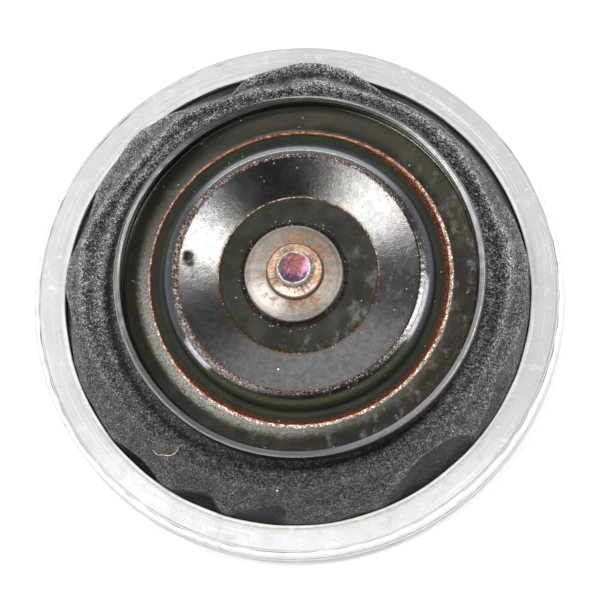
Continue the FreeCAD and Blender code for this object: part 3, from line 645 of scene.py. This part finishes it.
def turned(name, profile, mat, x0=0.0, seg=360, step=0.35, arc=5, shift=None, smooth=40.0):
    """A turned or pressed round piece. shift(r, z, th) gives small changes (dr, dz) in mm. A profile point
    at r = 0 is a pole."""
    prof = outline(profile, step, arc)
    pole = prof[:, 0] < 1e-6
    th = np.arange(seg) * 2 * math.pi / seg
    verts, index = [], []
    for (r, z), on in zip(prof, pole):
        if on:
            index.append([len(verts)] * seg)
            verts.append((x0, 0.0, z))
            continue
        rr, zz = np.full(seg, r), np.full(seg, z)
        if shift is not None:
            dr, dz = shift(rr, zz, th)
            rr, zz = rr + dr, zz + dz
        index.append(list(range(len(verts), len(verts) + seg)))
        verts += list(zip(x0 + rr * np.cos(th), rr * np.sin(th), zz))
    faces, n = [], len(prof)
    for i in range(n):
        a, b = index[i], index[(i + 1) % n]
        if pole[i] and pole[(i + 1) % n]:
            continue
        for j in range(seg):
            k = (j + 1) % seg
            f = [a[j], b[j], b[k], a[k]]
            f = list(dict.fromkeys(f))
            faces.append(f)
    return mesh_object(name, verts, faces, mat, smooth)


def wave(th, seed, terms, amp):
    """Seeded smooth wave round a circle."""
    rng = np.random.default_rng(seed)
    out = np.zeros_like(th)
    for k in terms:
        out += rng.normal() * np.cos(k * th + rng.uniform(0, 6.283)) / math.sqrt(len(terms))
    return amp * out


# ------------------------------------------------------------------ clamping ring
LIP_IN = RING_JOINT_R - 0.2
LRT = RING_WEB + LEATHER_T


# the rolled wall isn't quite round, and the lip that was rolled over is narrower than its blank
OUT_DR = [(0, 0.36), (30, 0.14), (45, 0.02), (60, -0.20), (90, -0.38), (120, -0.42), (135, -0.26), (150, -0.02),
          (180, 0.16), (210, 0.28), (240, 0.34), (270, 0.22), (300, 0.28), (330, 0.30)]


def ring_warp(r, th):
    wall = np.interp(np.degrees(th), [a for a, _ in OUT_DR], [b for _, b in OUT_DR], period=360.0)
    return np.clip((r - 31.0) / 2.5, 0, 1) * wall + np.interp(r, [30.4, LIP_IN, RING_JOINT_R, RING_OUT_R], [0.0, 0.36, 0.36, 0.0])


def channel_shift(r, z, th):
    # the rolled lip's edge is a little ragged; the outer wall has light dents
    lip = np.clip((z - 3.2) / 0.3, 0, 1) * np.clip((33.3 - r) / 0.3, 0, 1)
    dr = lip * (wave(th, 3, range(5, 60, 3), 0.05) + wave(th, 4, (1, 2, 3), 0.03) - 0.07 * np.clip(0.35 + np.sin(th), 0, 1))
    wall = np.clip((r - 33.6) / 0.3, 0, 1)
    dr = dr - wall * np.abs(wave(th, 8, range(2, 30, 2), 0.02)) + ring_warp(r, th)
    return dr, -lip * np.abs(wave(th, 6, range(7, 70, 4), 0.015))


ring_channel = turned("ring_channel_body", [
    (RING_IN_R, 0.0, 0.35), (RING_OUT_R, 0.0, 0.5), (RING_OUT_R, RING_H, 0.55), (LIP_IN + 0.02, RING_H, 0.06),
    (RING_JOINT_R, RING_H - 0.6), (RING_JOINT_R, RING_WEB), (RING_IN_R, RING_WEB, 0.3)],
    mat_aluminium(), seg=720, step=0.5, arc=5, shift=channel_shift)


def clamp_shift(r, z, th):
    top = np.clip((z - 3.3) / 0.2, 0, 1)
    inner = np.clip((30.9 - r) / 0.3, 0, 1) * top
    dz = top * wave(th, 12, (1, 2, 3, 5), 0.02) - inner * np.abs(wave(th, 13, range(4, 50, 5), 0.03))
    edge = np.clip((31.0 - r) / 0.6, 0, 1)
    return inner * wave(th, 14, range(3, 40, 3), 0.02) - 0.14 * edge * np.clip((z - 2.2) / 0.6, 0, 1) + ring_warp(r, th), dz - 0.02 * top


ring_clamp = turned("ring_clamp_body", [
    (RING_IN_R, LRT, 0.3), (RING_JOINT_R, LRT), (RING_JOINT_R, RING_H - 0.6), (LIP_IN - 0.0, RING_H - 0.01, 0.05),
    (RING_IN_R + 0.62, RING_H - 0.02), (RING_IN_R + 0.46, RING_H - 0.07), (RING_IN_R + 0.34, RING_H - 0.02),
    (RING_IN_R, RING_H, 0.14)],
    mat_aluminium(), seg=720, step=0.4, arc=5, shift=clamp_shift)

# ------------------------------------------------------------------ leather
# angle: ridge radius, ridge height, crest radius, crest height, radius at the ring's top
FOLDS = [
    (0, 27.6, 8.8, 29.7, 5.6, 29.95), (9, 28.1, 8.9, 29.8, 5.8, 29.95), (14, 27.6, 9.2, 29.6, 6.0, 29.8),
    (18, 27.2, 9.3, 29.4, 6.0, 29.6), (22, 27.1, 9.3, 28.9, 6.3, 29.4), (28, 27.1, 9.4, 28.5, 6.6, 29.3),
    (34, 27.2, 9.4, 28.5, 6.7, 29.3), (40, 27.4, 9.4, 28.6, 6.8, 29.3), (46, 27.4, 9.4, 28.5, 7.0, 29.2),
    (52, 27.3, 9.4, 28.3, 7.2, 29.1), (59, 27.1, 9.4, 28.1, 7.5, 29.0), (65, 26.9, 9.4, 27.9, 7.9, 28.8),
    (71, 26.8, 9.3, 29.0, 8.0, 28.5), (77, 26.8, 9.25, 29.8, 8.0, 29.3), (83, 26.9, 9.3, 30.2, 8.0, 29.5),
    (89, 26.4, 9.4, 30.1, 8.0, 29.4), (94, 26.1, 9.45, 29.6, 8.0, 29.1), (99, 26.1, 9.5, 29.1, 8.0, 28.8),
    (103, 26.2, 9.5, 28.7, 8.0, 28.8), (107, 26.3, 9.5, 27.3, 7.7, 28.5), (111, 26.5, 9.3, 27.2, 7.6, 28.7),
    (117, 26.8, 9.2, 27.9, 7.0, 29.1), (122, 27.1, 9.1, 28.7, 6.6, 29.4), (127, 26.6, 9.2, 29.3, 6.2, 29.4),
    (133, 25.9, 9.3, 29.8, 6.0, 29.9), (138, 25.9, 9.3, 29.9, 6.0, 29.9), (144, 26.1, 9.3, 29.4, 6.0, 29.6),
    (150, 26.4, 9.2, 29.3, 6.2, 29.6), (154, 26.7, 9.2, 28.8, 6.8, 29.3), (159, 27.2, 9.1, 28.4, 7.0, 29.1),
    (163, 27.7, 9.0, 28.6, 7.0, 29.2), (167, 28.0, 8.8, 29.2, 6.2, 29.4), (172, 27.8, 8.7, 29.8, 5.6, 29.9),
    (178, 27.4, 8.6, 29.8, 5.6, 29.9), (183, 27.4, 8.6, 29.1, 6.8, 29.3), (188, 27.3, 8.5, 28.6, 7.3, 29.5),
    (193, 27.2, 8.5, 28.5, 7.2, 29.7), (199, 26.9, 8.5, 28.8, 6.6, 29.85), (206, 26.6, 8.6, 29.5, 5.2, 29.9),
    (213, 26.4, 8.7, 29.6, 5.0, 29.9), (219.5, 26.3, 8.8, 29.9, 4.9, 29.9), (223, 26.3, 8.8, 29.5, 4.9, 29.6),
    (227, 26.3, 8.8, 29.3, 5.0, 29.4), (231, 26.4, 8.7, 29.5, 4.9, 29.6), (234, 26.4, 8.7, 29.95, 4.9, 29.95),
    (238, 26.5, 8.6, 29.95, 4.9, 29.95), (243, 26.5, 8.6, 29.0, 5.2, 29.4), (247.6, 26.6, 8.6, 28.4, 5.4, 29.0),
    (251.2, 26.6, 8.6, 29.9, 4.9, 29.95), (253.2, 26.6, 8.6, 29.9, 4.9, 29.95), (258, 26.5, 8.6, 29.0, 5.2, 29.6),
    (262, 26.4, 8.6, 28.4, 5.5, 29.5), (265.6, 26.3, 8.7, 27.9, 5.8, 29.5), (269, 26.2, 8.7, 28.8, 5.4, 29.95),
    (277, 26.1, 8.8, 29.5, 5.1, 29.95), (285, 26.0, 8.8, 29.7, 5.0, 29.95), (291, 26.0, 8.7, 29.95, 5.0, 29.95),
    (294, 25.9, 8.6, 29.2, 6.0, 29.8), (297.5, 25.9, 8.6, 28.5, 6.9, 29.6), (302, 25.9, 8.6, 27.8, 7.4, 29.5),
    (306.5, 25.9, 8.6, 27.5, 7.6, 29.5), (312, 25.9, 8.6, 27.8, 7.4, 29.5), (317.5, 26.1, 8.6, 28.6, 6.9, 29.7),
    (319.5, 26.3, 8.6, 29.9, 5.2, 29.95), (325, 26.5, 8.7, 29.4, 6.2, 29.9), (330, 26.7, 8.8, 28.8, 7.0, 29.9),
    (334.5, 26.8, 8.9, 28.4, 7.4, 29.9), (338, 26.9, 8.9, 28.4, 7.4, 29.9),
    (344, 27.0, 9.0, 28.9, 6.8, 29.9), (352, 27.2, 9.0, 29.5, 6.0, 29.95),
]


def periodic(keys, values, x):
    """Straight runs between the keys, round the circle, in degrees."""
    return np.interp(x, np.array(keys, float), np.array(values, float), period=360.0)


def smooth_rows(a, passes, ends=2):
    """Softens a grid (rows across, columns round), with its first and last rows kept."""
    for _ in range(passes):
        b = a.copy()
        b[1:-1] = 0.5 * a[1:-1] + 0.25 * (a[:-2] + a[2:])
        b = 0.5 * b + 0.25 * (np.roll(b, 1, 1) + np.roll(b, -1, 1))
        b[:ends], b[-ends:] = a[:ends], a[-ends:]
        a = b
    return a


SEG = 640
deg = np.arange(SEG) * 360.0 / SEG
cols = [np.array(c) for c in zip(*FOLDS)]
Rr, Zr, Rc, Zc, Rw = (periodic(cols[0], cols[i], deg) for i in range(1, 6))
one = np.ones(SEG)
th = np.radians(deg)
# depth of the valley inside the ridge and of the one outside it, and how far the wall tucks under
DIPS = [(0, 0.5, 0.2, 0.0), (30, 0.6, 0.35, 0.0), (60, 0.45, 0.5, 0.0), (77, 0.35, 0.8, 0.0), (92, 0.35, 0.9, 0.0),
        (105, 0.45, 0.7, 0.0), (118, 0.6, 0.3, 0.0), (140, 0.95, 0.4, 0.0), (160, 0.85, 0.4, 0.0), (180, 0.5, 0.2, 0.0),
        (200, 0.3, 0.1, 0.0), (219, 0.15, 0.0, 0.0), (223, 0.15, 0.0, 0.9), (231, 0.15, 0.0, 0.9), (234.5, 0.15, 0.0, 0.0),
        (238, 0.1, 0.0, 0.0), (242, 0.1, 0.0, 0.6), (249, 0.1, 0.0, 0.6), (252.5, 0.1, 0.0, 0.0), (258, 0.1, 0.0, 0.3),
        (264, 0.1, 0.0, 0.3), (268, 0.1, 0.0, 0.0), (292, 0.1, 0.0, 0.0), (297, 0.1, 0.0, 0.3), (316, 0.1, 0.0, 0.3),
        (319, 0.2, 0.1, 0.0), (340, 0.4, 0.3, 0.0)]
# how much painted shade the skirt outside the crest gets, and how much the slot next to the ring gets
SKIRT_PAINTED_SHADE = [(0, 0.1, 0.6), (14, 0.2, 0.9), (20, 0.30, 1.0), (60, 0.30, 1.0), (70, 0.1, 0.7), (103, 0.1, 0.7), (108, 0.30, 0.95),
         (125, 0.2, 1.0), (133, 0.0, 0.6), (148, 0.1, 0.8), (156, 0.5, 1.0), (164, 0.5, 1.0), (170, 0.1, 0.7), (183, 0.1, 0.8),
         (200, 0.0, 0.4), (219, 0.0, 0.1), (221.5, 0.95, 1.0), (232.5, 0.95, 1.0), (235, 0.0, 0.1), (238, 0.0, 0.1),
         (240, 0.7, 0.7), (249.5, 0.7, 0.7), (252, 0.0, 0.0), (255, 0.55, 0.30), (266, 0.65, 0.25), (268.5, 0.0, 0.1),
         (290, 0.0, 0.1), (293, 0.62, 0.7), (317.5, 0.62, 0.7), (319.5, 0.4, 0.4), (333, 0.35, 0.4), (340, 0.0, 0.4)]
dc = [np.array(c) for c in zip(*DIPS)]
Din, Dout, Tuck = (periodic(dc[0], dc[i], deg) for i in range(1, 4))


def between(a, b, t, drop):
    return a[0] + (b[0] - a[0]) * t, a[1] + (b[1] - a[1]) * t - drop


# section from the hub's edge to the ring, as straight facets
low_in = (23.7 * one, 8.55 + 0.1 * np.sin(3 * th + 1))
start = (24.75 * one, 8.95 + 0.05 * np.sin(2 * th + 2))
stations = [
    (18.3 * one, 10.5 * one), (20.6 * one, 10.5 * one), (22.6 * one, 9.4 * one), low_in, start, between(start, (Rr, Zr), 0.45, Din * 0.5),
    (Rr, Zr), between((Rr, Zr), (Rc, Zc), 0.38, Dout), (Rc, Zc), (Rw - Tuck, 3.7 * one), (29.9 * one, 2.45 * one),
]
rows_between = [7, 6, 5, 5, 5, 6, 7, 9, 12, 6]
R, Z = [], []
for (r0, z0), (r1, z1), k in zip(stations, stations[1:], rows_between):
    for j in range(k):
        t = j / k
        R.append(r0 + (r1 - r0) * t)
        Z.append(z0 + (z1 - z0) * t)
R.append(stations[-1][0]); Z.append(stations[-1][1])
R, Z = np.array(R), np.array(Z)
R, Z = smooth_rows(R, 3), smooth_rows(Z, 3)
rows = len(R)
fade = np.ones(rows)
fade[:8] = np.linspace(0, 1, 8)
fade[-6:] = np.linspace(1, 0, 6)


def surface(R, Z, x0=0.0):
    return np.stack([x0 + R * np.cos(th), R * np.sin(th), Z], 2)


def normals(P):
    du = np.roll(P, -1, 1) - np.roll(P, 1, 1)
    dv = np.gradient(P, axis=0)
    n = np.cross(dv, du)
    n /= np.linalg.norm(n, axis=2, keepdims=True) + 1e-12
    flip = (n[:, :, 2:] < 0) & (np.abs(n[:, :, 2:]) > 0.3)
    return np.where(n[rows // 3, 0, 2] < 0, -n, n)


P = surface(R, Z)
N = normals(P)


def fbm(P, scale, seed, octaves=1):
    off = Vector((seed * 3.1, seed * 7.7, seed * 1.3))
    flat = P.reshape(-1, 3)
    if octaves == 1:
        v = [noise.noise(Vector(p) * scale + off) for p in flat]
    else:
        v = [noise.fractal(Vector(p) * scale + off, 0.9, 2.1, octaves) for p in flat]
    return np.array(v).reshape(P.shape[:2])


big = fbm(P, 0.16, 1) * 0.18 + fbm(P, 0.42, 2) * 0.13
crumple = fbm(P, 0.9, 3, 2) * 0.07
P2 = P + N * ((big + crumple) * fade[:, None])[:, :, None]
# stay inside the ring's hole where the membrane passes it
rad = np.hypot(P2[:, :, 0], P2[:, :, 1])
keep = np.minimum(1.0, 30.0 / rad)
P2[:, :, 0] *= keep
P2[:, :, 1] *= keep
N2 = normals(P2)
# how far each point stands out from its neighbourhood: crests near 1, tucks near 0
soft = np.stack([smooth_rows(P2[:, :, i], 14, 1) for i in range(3)], 2)
out = ((P2 - soft) * N2).sum(2)
ridge = np.clip(0.5 + out / 0.26, 0, 1)
nap = fbm(P2, 2.6, 5) * 0.040 + fbm(P2, 4.6, 6) * 0.030
top = P2 + N2 * (nap * np.maximum(fade, 0.3)[:, None])[:, :, None]
low = P2 - N2 * LEATHER_T
# hidden parts: flat under the plates, pinched in the ring
inner_r, outer_r = [(3.15, STUD_X), (9.0, 0.4), (15.0, 0.0)], [30.6, 31.8, 33.05]
top_rows = [surface(np.full((1, SEG), r), np.full((1, SEG), 10.5), x)[0] for r, x in inner_r] + list(top) + \
           [surface(np.full((1, SEG), r), np.full((1, SEG), LRT - 0.01))[0] for r in outer_r]
low_rows = [surface(np.full((1, SEG), r), np.full((1, SEG), 9.8), x)[0] for r, x in inner_r] + list(low) + \
           [surface(np.full((1, SEG), r), np.full((1, SEG), RING_WEB + 0.01))[0] for r in outer_r]
loop = top_rows + low_rows[::-1]
verts = np.concatenate(loop)
faces = []
for i in range(len(loop)):
    a, b = i * SEG, ((i + 1) % len(loop)) * SEG
    faces += [(a + j, a + (j + 1) % SEG, b + (j + 1) % SEG, b + j) for j in range(SEG)]
leather = mesh_object("leather_membrane", verts, faces, mat_leather(), smooth=0)
w = np.concatenate([np.full(3 * SEG, 0.5), ridge.ravel(), np.full(3 * SEG, 0.5)])
w = np.concatenate([w, np.full(len(verts) - len(w), 0.5)])
leather.data.attributes.new("ridge", "FLOAT", "POINT").data.foreach_set("value", w.astype(np.float32))
sk = [np.array(c) for c in zip(*SKIRT_PAINTED_SHADE)]
crest_row, wall_row = sum(rows_between[:8]), sum(rows_between[:9])
row = np.arange(rows)[:, None]
# painted shade amounts for the skirt below the crest and for the slot, kept as a point attribute
painted_under_shade = np.clip((row - crest_row + 0.5) / 1.5, 0, 1) * periodic(sk[0], sk[1], deg)[None]
painted_under_shade = np.maximum(painted_under_shade, np.clip((row - wall_row + 2.0) / 3.0, 0, 1) * periodic(sk[0], sk[2], deg)[None])
w = np.concatenate([np.zeros(3 * SEG), painted_under_shade.ravel(), np.zeros(3 * SEG)])
w = np.concatenate([w, np.zeros(len(verts) - len(w))])
leather.data.attributes.new("painted_under_shade", "FLOAT", "POINT").data.foreach_set("value", w.astype(np.float32))

# ------------------------------------------------------------------ front plate
S = SHEET


LIP_DR = [(0, 0.05), (30, 0.18), (50, 0.26), (75, 0.16), (95, -0.02), (115, -0.28), (135, -0.38), (155, -0.18), (180, -0.04),
          (225, -0.06), (270, -0.03), (315, 0.06)]


def plate_shift(r, z, th):
    edge = np.clip(1 - np.abs(r - SEAT_EDGE_R) / 0.14, 0, 1) * np.clip((z - FLOOR_Z + 0.15) / 0.1, 0, 1)
    dr = edge * wave(th, 21, range(9, 140, 7), 0.035)
    dz = edge * (0.03 + np.abs(wave(th, 22, range(11, 160, 6), 0.035)))
    rim = np.clip((r - 22.5) / 0.3, 0, 1)
    bent = np.interp(np.degrees(th), [a for a, _ in LIP_DR], [b for _, b in LIP_DR], period=360.0)
    dr = dr + np.clip((r - 21.7) / 0.8, 0, 1) * bent
    dr = dr + rim * (wave(th, 23, (2, 3, 4), 0.010) + wave(th, 24, range(8, 60, 5), 0.008))
    dz = dz + rim * (wave(th, 25, (2, 3, 5), 0.04) + wave(th, 26, range(9, 80, 7), 0.008))
    flat = np.clip(1 - np.abs(r - FLAT_R - 0.06) / 0.1, 0, 1)
    dz = dz + flat * np.abs(wave(th, 27, range(20, 170, 9), 0.012))
    cone = np.clip((r - 10.4) / 1.0, 0, 1) * np.clip((15.0 - r) / 1.0, 0, 1)
    dz = dz + cone * wave(th, 28, (2, 3, 4, 5), 0.012)
    crest = np.exp(-((r - BOSS_CREST_R - 0.15) / 0.35) ** 2) * (z > 14.0)
    dz = dz + crest * wave(th, 29, range(15, 150, 8), 0.008)
    pit = 0.10 * np.exp(-((r - 14.2) / 0.30) ** 2 / 2 - ((th - math.radians(169.5)) * 14.2 / 0.42) ** 2 / 2)
    pit = pit + 0.05 * np.exp(-((r - 13.8) / 0.22) ** 2 / 2 - ((th - math.radians(172.5)) * 14.2 / 0.26) ** 2 / 2)
    dz = dz - pit * (z > 14.0)
    return dr, dz


front_plate = turned("front_plate_dish", [
    (PLATE_HOLE_R, FLAT_Z), (FLAT_R, FLAT_Z, 0.1), (FLAT_R + 0.12, FLAT_Z + 0.07, 0.05),
    (BOSS_CREST_R, BOSS_Z, 1.0), (SHOULDER_R, SHOULDER_Z, 1.0), (GROOVE_IN_R, GROOVE_Z, 0.32),
    (GROOVE_OUT_R, GROOVE_Z, 0.32), (SEAT_EDGE_R, FLOOR_Z + 0.02, 0.05), (RIM_R - RIM_T, FLOOR_Z, 0.12),
    (RIM_R - RIM_T, RIM_Z - RIM_FALL, 0.18), (RIM_R, RIM_Z, 0.25),
    (RIM_R, FLOOR_Z - S + 0.15, 0.3), (RIM_R - 0.75, FLOOR_Z - S, 0.3), (SEAT_EDGE_R + 0.27, FLOOR_Z - S, 0.2),
    (GROOVE_OUT_R + 0.27, GROOVE_Z - S, 0.4), (GROOVE_IN_R - 0.75, GROOVE_Z - S, 0.4),
    (SHOULDER_R - 0.8, SHOULDER_Z - 0.68, 0.4), (BOSS_CREST_R - 0.2, BOSS_Z - S, 0.4),
    (FLAT_R, FLAT_Z - S), (PLATE_HOLE_R, FLAT_Z - S)],
    mat_dark_steel(), x0=PLATE_X, seg=376, step=0.30, arc=6, shift=plate_shift, smooth=50)

# ------------------------------------------------------------------ rear plate
T = REAR_T
rear_plate = turned("rear_plate_disc", [
    (SHANK_R + 0.1, REAR_TOP_Z), (REAR_R, REAR_TOP_Z, 1.1), (REAR_R, REAR_TOP_Z - T - 0.7, 0.3),
    (REAR_R - T, REAR_TOP_Z - T - 0.7, 0.3), (REAR_R - T - 0.15, REAR_TOP_Z - T, 0.4),
    (SHANK_R + 0.1, REAR_TOP_Z - T)],
    mat_rear_steel(), x0=STUD_X, seg=360, step=0.8, arc=6)

# ------------------------------------------------------------------ washer
WB = FLAT_Z


def washer_shift(r, z, th):
    topz = np.clip((z - WB - 0.6) / 0.4, 0, 1)
    rim = np.clip((r - 5.6) / 0.4, 0, 1)
    return rim * wave(th, 31, (2, 3, 5, 8), 0.02), topz * (wave(th, 32, (1, 2, 3), 0.03) + wave(th, 33, range(5, 40, 4), 0.008))


washer = turned("washer_domed", [
    (WASHER_HOLE_R, WB), (WASHER_R, WB, 0.2), (WASHER_R, WB + WASHER_T - 0.52, 0.30),
    (WASHER_R - 0.8, WB + WASHER_T - 0.30, 0.9), (WASHER_R - 2.4, WB + WASHER_T - 0.01, 1.5), (WASHER_HOLE_R, WB + WASHER_T)],
    mat_washer(), x0=WASHER_X, seg=240, step=0.2, arc=6, shift=washer_shift)

# ------------------------------------------------------------------ stud
stud_mat = mat_stud()


def collar_shift(r, z, th):
    topz = np.clip((z - 15.5) / 0.3, 0, 1)
    out = np.clip((r - 3.0) / 0.4, 0, 1)
    dr = out * (wave(th, 41, (2, 3, 4, 5), 0.03) + wave(th, 42, range(7, 40, 3), 0.015))
    return dr, topz * (wave(th, 43, (2, 3, 4), 0.025) + wave(th, 44, range(6, 40, 3), 0.02))


HB = FLAT_Z + WASHER_T
collar = turned("stud_collar_peened", [
    (PIN_R + 0.10, HEAD_TOP_Z - 0.18), (PIN_R + 0.26, HEAD_TOP_Z + 0.05, 0.08), (HEAD_R + 0.02, HEAD_TOP_Z + 0.02, 0.32),
    (HEAD_R + 0.14, HB + 0.01, 0.05), (PIN_R + 0.3, HB + 0.05)],
    stud_mat, x0=STUD_X, seg=240, step=0.12, arc=6, shift=collar_shift)
stud_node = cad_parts["stud"]
stud_node.data.materials.clear()
stud_node.data.materials.append(stud_mat)

# ------------------------------------------------------------------ lint on the leather
tree = BVHTree.FromPolygons([v.co[:] for v in leather.data.vertices], [p.vertices[:] for p in leather.data.polygons])


def on_leather(x, y, lift):
    hit = tree.ray_cast(Vector((x * MM, y * MM, 0.0135)), Vector((0, 0, -1)))
    z = hit[0].z / MM if hit[0] else 9.0
    return (x, y, z + lift)


def hair(name, pts, radius, mat):
    """A thin tapered tube along a smooth line through pts (mm)."""
    p = np.array(pts, float)
    t = np.linspace(0, len(p) - 1, 60)
    i = np.clip(t.astype(int), 0, len(p) - 2)
    f = (t - i)[:, None]
    a, b = p[np.clip(i - 1, 0, None)], p[i]
    c, d = p[i + 1], p[np.clip(i + 2, None, len(p) - 1)]
    line = 0.5 * ((2 * b) + (c - a) * f + (2 * a - 5 * b + 4 * c - d) * f ** 2 + (3 * b - a - 3 * c + d) * f ** 3)
    tang = np.gradient(line, axis=0)
    tang /= np.linalg.norm(tang, axis=1, keepdims=True)
    side = np.cross(tang, (0, 0, 1.0))
    side /= np.linalg.norm(side, axis=1, keepdims=True)
    up = np.cross(side, tang)
    k, verts, faces = 6, [], []
    for j, q in enumerate(line):
        rr = radius * (1.0 - 0.5 * abs(2 * j / (len(line) - 1) - 1) ** 3)
        for s in range(k):
            an = 2 * math.pi * s / k
            verts.append(q + rr * (math.cos(an) * side[j] + math.sin(an) * up[j]))
    for j in range(len(line) - 1):
        faces += [(j * k + s, j * k + (s + 1) % k, (j + 1) * k + (s + 1) % k, (j + 1) * k + s) for s in range(k)]
    faces.append(tuple(range(k))[::-1])
    faces.append(tuple(range((len(line) - 1) * k, len(line) * k)))
    return mesh_object(name, verts, faces, mat, smooth=0)


lint_xy = [(-17.95, -20.8), (-17.35, -21.4), (-16.55, -21.6), (-15.85, -21.8), (-15.15, -21.7), (-14.65, -21.3), (-14.45, -20.7)]
lint = hair("lint_hair", [on_leather(x, y, 0.07) for x, y in lint_xy], 0.05, mat_fibre())

# ------------------------------------------------------------------ bodies
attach(ring_channel, "ring")
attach(ring_clamp, "ring")
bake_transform(leather)
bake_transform(lint)
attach(front_plate, "hub")
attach(rear_plate, "hub")
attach(washer, "hub")
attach(collar, "hub")
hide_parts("ring_channel")
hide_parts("ring_clamp")
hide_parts("leather_diaphragm")
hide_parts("front_plate")
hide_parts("rear_plate")
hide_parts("washer")

# ------------------------------------------------------------------ table and light
me = bpy.data.meshes.new("table")
n, size = 24, 3.0
me.from_pydata([((i / n - 0.5) * size, (j / n - 0.5) * size, -0.00002) for j in range(n + 1) for i in range(n + 1)], [],
               [(j * (n + 1) + i, j * (n + 1) + i + 1, (j + 1) * (n + 1) + i + 1, (j + 1) * (n + 1) + i) for j in range(n) for i in range(n)])
table = bpy.data.objects.new("table", me)
bpy.context.scene.collection.objects.link(table)
me.materials.append(mat_floor())


def soft_box(name, direction, dist, size, power, color=(1, 1, 1)):
    d = Vector(direction).normalized()
    data = bpy.data.lights.new(name, "AREA")
    data.shape, data.size, data.size_y = "RECTANGLE", size[0], size[1]
    data.energy, data.color = power, color
    ob = bpy.data.objects.new(name, data)
    bpy.context.scene.collection.objects.link(ob)
    ob.location = d * dist
    ob.rotation_euler = d.to_track_quat("Z", "Y").to_euler()
    return ob


soft_box("key_right", (0.266, 0.135, 0.954), 0.75, (0.10, 0.165), 2.1)
soft_box("key_left", (-0.34, 0.02, 0.940), 0.75, (0.15, 0.19), 2.4)
soft_box("far_sheet", (-0.14, 0.555, 0.820), 0.75, (0.42, 0.22), 0.85)

world = bpy.data.worlds.new("studio")
bpy.context.scene.world = world
world.use_nodes = True
wt = world.node_tree
wt.nodes.clear()
wo = wt.nodes.new("ShaderNodeOutputWorld")
bg = wt.nodes.new("ShaderNodeBackground")
tc = wt.nodes.new("ShaderNodeTexCoord")
sp = wt.nodes.new("ShaderNodeSeparateXYZ")
rp = wt.nodes.new("ShaderNodeValToRGB")
wt.links.new(tc.outputs["Generated"], sp.inputs[0])
wt.links.new(sp.outputs[2], rp.inputs[0])
wt.links.new(rp.outputs[0], bg.inputs[0])
wt.links.new(bg.outputs[0], wo.inputs[0])
el = rp.color_ramp.elements
el[0].position, el[0].color = 0.0, (0.75, 0.75, 0.75, 1)
el[1].position, el[1].color = 0.955, (0.045, 0.048, 0.045, 1)
for pos, v in ((0.5, 0.9), (0.78, 1.0), (0.90, 0.35)):
    e = el.new(pos)
    e.color = (v, v, v * 1.01, 1)
bg.inputs[1].default_value = 1.0

bpy.context.scene.view_settings.view_transform = "Standard"
bpy.context.scene.view_settings.look = "None"
